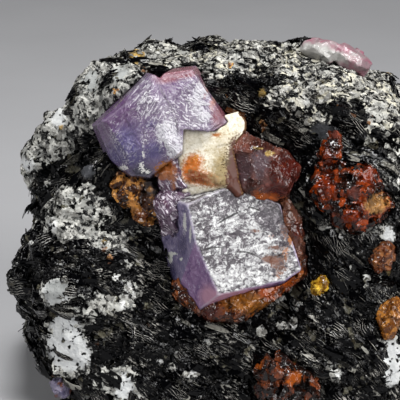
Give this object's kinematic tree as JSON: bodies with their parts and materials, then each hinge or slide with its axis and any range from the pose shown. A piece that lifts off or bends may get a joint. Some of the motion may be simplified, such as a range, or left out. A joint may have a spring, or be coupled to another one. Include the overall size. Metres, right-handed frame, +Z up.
{
  "type": "sapphire crystals in matrix",
  "caption": "Violet sapphire crystals with cream feldspar and red-brown garnet, standing out of a dark mica and feldspar rock cut flat underneath.",
  "frame": {"origin": "middle of the bounding box's underside, on the flat base", "axes": "+Z up, -Y towards the front where the sapphires stand, +X to the right seen from the front"},
  "size_m": [0.0854, 0.0674, 0.0666],
  "materials": {
    "matrix": "glossy",
    "sapphire_violet": "glossy",
    "sapphire_silver": "glossy",
    "corundum_pink": "satin",
    "feldspar": "satin",
    "garnet_brown": "glossy",
    "garnet_red": "glossy",
    "yellow_mineral": "glossy"
  },
  "bodies": {
    "root": {"matrix": "matrix", "upper_sapphire": "sapphire_violet", "middle_sapphire": "sapphire_violet", "lower_sapphire": "sapphire_silver", "corner_sapphire": "sapphire_violet", "pink_corundum": "corundum_pink", "feldspar_seam": "feldspar", "garnet_rim": "garnet_brown", "garnet_beside_feldspar": "garnet_brown", "brown_garnet": "garnet_brown", "garnet_cluster_right": "garnet_red", "garnet_grain_right": "garnet_red", "garnet_edge_right": "garnet_red", "garnet_cluster_bottom": "garnet_red", "yellow_grain": "yellow_mineral"}
  },
  "joints": []
}
